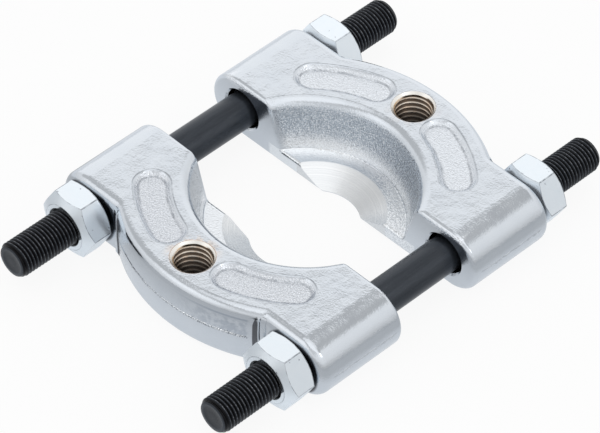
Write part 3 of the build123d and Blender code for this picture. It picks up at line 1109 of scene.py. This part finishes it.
def crease_webs(end, turned, material):
    """A flat web from each ridge to the end of the ear, as the mould left it."""
    points = []
    faces = []
    for side in (-1, 1):
        first = len(points)
        for k in range(WEB_ROWS + 1):
            z = WEB_FOOT_MM + (CREASE_TOP_MM - WEB_FOOT_MM) * k / WEB_ROWS
            start_y = math.sqrt((outer_radius(z) + WEB_PROUD_MM) ** 2 - WEB_START_MM**2)
            points.append((side * WEB_START_MM, start_y, z))
            points.append((side * WEB_END_MM, EAR_END_MM + WEB_PROUD_MM - rounded_back(z), z))
        for k in range(WEB_ROWS):
            a = first + 2 * k
            face = (a, a + 1, a + 3, a + 2)
            faces.append(face if side < 0 else face[::-1])
    if turned:
        points = half_turn(points)
    webs = mesh_object(f"{end}_crease_webs", points, faces, material)
    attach(webs, f"{end}_jaw")


# The studio

FLOOR_HALF_MM = 3000.0
FLOOR_DROP_MM = 0.05
FLOOR_COLOURS = ((0.82, 0.82, 0.82), (0.58, 0.58, 0.58))
FLOOR_ROUGHNESS = 0.9
FLOOR_SPECULAR = 0.1
# The light falls off between these distances from the middle of the set, in metres
POOL_SPAN = (0.12, 0.34)
WHITE = (1, 1, 1)
# Metal sees the floor a little bluer than the camera does, and dimmer on one side of the set
# and close by: the way across the set, where it changes, and the levels
MIRRORED_FLOOR_COLOUR = (0.955, 0.985, 1.02)
ACROSS_SET = (0.64, 0.77)
ACROSS_SPAN = (0.03, 0.08)
ACROSS_LEVELS = (0.55, 1.0)
CLOSE_SPAN = (0.006, 0.040)
CLOSE_LEVEL = 0.94
# How much of the floor is glow to the camera and to a reflection
GLOW_SHARES = (0.9, 0.75)

# How bright the room is from the floor, 0, to overhead, 1
ROOM_LEVELS = (
    (0.0, 0.90),
    (0.25, 0.97),
    (0.60, 1.06),
    (0.715, 1.08),
    (0.770, 0.62),
    (0.870, 0.62),
    (0.92, 1.10),
    (1.0, 1.16),
)
# Parts of the room, each a direction from the part, the degrees from it within which the level
# is full and past which it ends, and the level
DIM_SIDE = ((0.87, -0.50, 0.0), 45, 80, 0.60)
BACK_WALL = ((-0.70, 0.66, 0.27), 20, 40, 1.20)
LEFT_GAP = ((-0.70, -0.14, 0.70), 8, 22, 0.68)
FRONT_GAP = ((0.23, -0.71, 0.67), 6, 17, 0.82)
LEFT_BOX = ((-0.42, -0.60, 0.68), 8, 18, 1.18)
RIGHT_BOX = ((0.62, -0.10, 0.778), 10, 18, 1.25)
OVERHEAD = ((0.15, -0.22, 0.964), 16, 24, 1.28)
# The dim side is only dim near the floor
DIM_HEIGHT_SPAN = (0.42, -0.05)

# Each lamp's name, place, width and power
LAMPS = (
    ("side", (1.46, 0.25, 1.34), 0.30, 0.7),
    ("left", (-0.57, -1.58, 1.09), 1.2, 0.5),
)


def pale_floor():
    """A floor that the camera and the metal see evenly pale, and that keeps the shadow."""
    s = Shader("floor_pale")
    coords = s.add("ShaderNodeTexCoord").outputs["Object"]
    away = s.add("ShaderNodeVectorMath", {"operation": "LENGTH"})
    s.feed(away.inputs[0], coords)
    pool = s.step(away.outputs["Value"], *POOL_SPAN)
    s.feed(s.surface.inputs["Base Color"], s.blend(pool, *FLOOR_COLOURS))
    s.surface.inputs["Roughness"].default_value = FLOOR_ROUGHNESS
    s.surface.inputs["Specular IOR Level"].default_value = FLOOR_SPECULAR
    path = s.add("ShaderNodeLightPath").outputs
    seen = path["Is Camera Ray"]
    reflected = s.either(path["Is Glossy Ray"], path["Is Transmission Ray"])
    x, y, z = s.axes(coords)
    back_left = s.less(s.times(y, ACROSS_SET[1]), s.times(x, ACROSS_SET[0]))
    far = s.mix(s.step(back_left, *ACROSS_SPAN), *ACROSS_LEVELS)
    shown = s.mix(s.step(path["Ray Length"], *CLOSE_SPAN), CLOSE_LEVEL, far)
    strength = s.plus(seen, s.times(reflected, shown))
    tint = s.blend(reflected, WHITE, MIRRORED_FLOOR_COLOUR)
    glow = s.add("ShaderNodeEmission", Color=tint, Strength=strength)
    glow_share = s.plus(s.times(seen, GLOW_SHARES[0]), s.times(reflected, GLOW_SHARES[1]))
    mixed = s.add("ShaderNodeMixShader")
    s.feed(mixed.inputs[0], glow_share)
    s.feed(mixed.inputs[1], s.surface.outputs[0])
    s.feed(mixed.inputs[2], glow.outputs[0])
    s.feed(s.nodes["Material Output"].inputs["Surface"], mixed.outputs[0])
    corners = [(-1, -1), (1, -1), (1, 1), (-1, 1)]
    points = [(x * FLOOR_HALF_MM, y * FLOOR_HALF_MM, -FLOOR_DROP_MM) for x, y in corners]
    floor = mesh_object("floor", points, [(0, 1, 2, 3)], s.material, smooth=False)


def cone(s, view, way, inner, outer):
    """One inside a cone about a direction and nought outside a wider one, in degrees."""
    facing = s.add("ShaderNodeVectorMath", {"operation": "DOT_PRODUCT"})
    s.feed(facing.inputs[0], view)
    s.feed(facing.inputs[1], way)
    return s.step(facing.outputs["Value"], math.cos(math.radians(outer)), math.cos(math.radians(inner)))


def even_room():
    """A room of soft light, with the boxes, walls and gaps that the metal mirrors."""
    world = bpy.data.worlds.new("room")
    bpy.context.scene.world = world
    world.use_nodes = True
    s = Nodes(world.node_tree)
    view = s.add("ShaderNodeTexCoord").outputs["Generated"]
    height = s.axes(view)["Z"]
    ramp = s.add("ShaderNodeValToRGB")
    s.feed(ramp.inputs[0], height)
    elements = ramp.color_ramp.elements
    while len(elements) < len(ROOM_LEVELS):
        elements.new(0.5)
    for element, (place, level) in zip(elements, ROOM_LEVELS):
        element.position = place
        element.color = (level, level, level, 1.0)
    way, inner, outer, level = DIM_SIDE
    dim = s.times(cone(s, view, way, inner, outer), s.step(height, *DIM_HEIGHT_SPAN))
    colour = s.blend(dim, ramp.outputs[0], (level,) * 3)
    for way, inner, outer, level in (BACK_WALL, LEFT_GAP, FRONT_GAP, LEFT_BOX, RIGHT_BOX, OVERHEAD):
        colour = s.blend(cone(s, view, way, inner, outer), colour, (level,) * 3)
    background = s.nodes["Background"]
    s.feed(background.inputs["Color"], colour)
    background.inputs["Strength"].default_value = 1.0


def soft_lamps():
    """Two weak discs that face the part."""
    for name, place, size, power in LAMPS:
        lamp = bpy.data.lights.new(name, "AREA")
        lamp.shape = "DISK"
        lamp.size = size
        lamp.energy = power
        lamp_object = link(bpy.data.objects.new(name, lamp))
        lamp_object.location = place
        lamp_object.rotation_euler = Vector(place).to_track_quat("Z", "Y").to_euler()


def camera():
    """The photograph's view."""
    data = bpy.data.cameras.new("camera")
    data.lens = CAMERA_LENS
    data.sensor_width = CAMERA_SENSOR
    data.clip_start, data.clip_end = CAMERA_RANGE
    view = link(bpy.data.objects.new("camera", data))
    back = [-c for c in CAMERA_AHEAD]
    turn = Matrix((CAMERA_RIGHT, CAMERA_UP, back)).transposed()
    view.matrix_world = Matrix.Translation(Vector(CAMERA_PLACE_MM) * MM) @ turn.to_4x4()
    bpy.context.scene.camera = view


def dress(name, material):
    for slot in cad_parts[name].material_slots:
        slot.material = material


camera()
pale_floor()
even_room()
soft_lamps()

# Each jaw's end, whether it is the turned one, and where its hole is
JAWS = (
    ("rear", False, HOLE_OFFSET_MM),
    ("front", True, FRONT_RING_CENTRE_MM - HOLE_OFFSET_MM),
)
plates = {}
for end, turned, centre in JAWS:
    plates[end] = jaw_material(f"jaw_{end}_plate", turned)
    dress(f"{end}_jaw", plates[end])
zinc = nut_material()
for side in ("left", "right"):
    for end in ("front", "rear"):
        dress(f"{end}_{side}_nut", zinc)
for end, turned, centre in JAWS:
    parting_line(end, turned, plates[end])
    crease_ridges(end, turned, plates[end])
    crease_webs(end, turned, plates[end])
oxide = stud_material()
for side in ("left", "right"):
    stud(f"{side}_stud", oxide)
for end, turned, centre in JAWS:
    bare = thread_material(f"{end}_thread_steel", centre)
    hole_thread(f"{end}_hole_thread", f"{end}_jaw", centre, bare)
    hole_rims(f"{end}_hole_rims", f"{end}_jaw", centre, plates[end])

bpy.context.scene.view_settings.view_transform = "Standard"
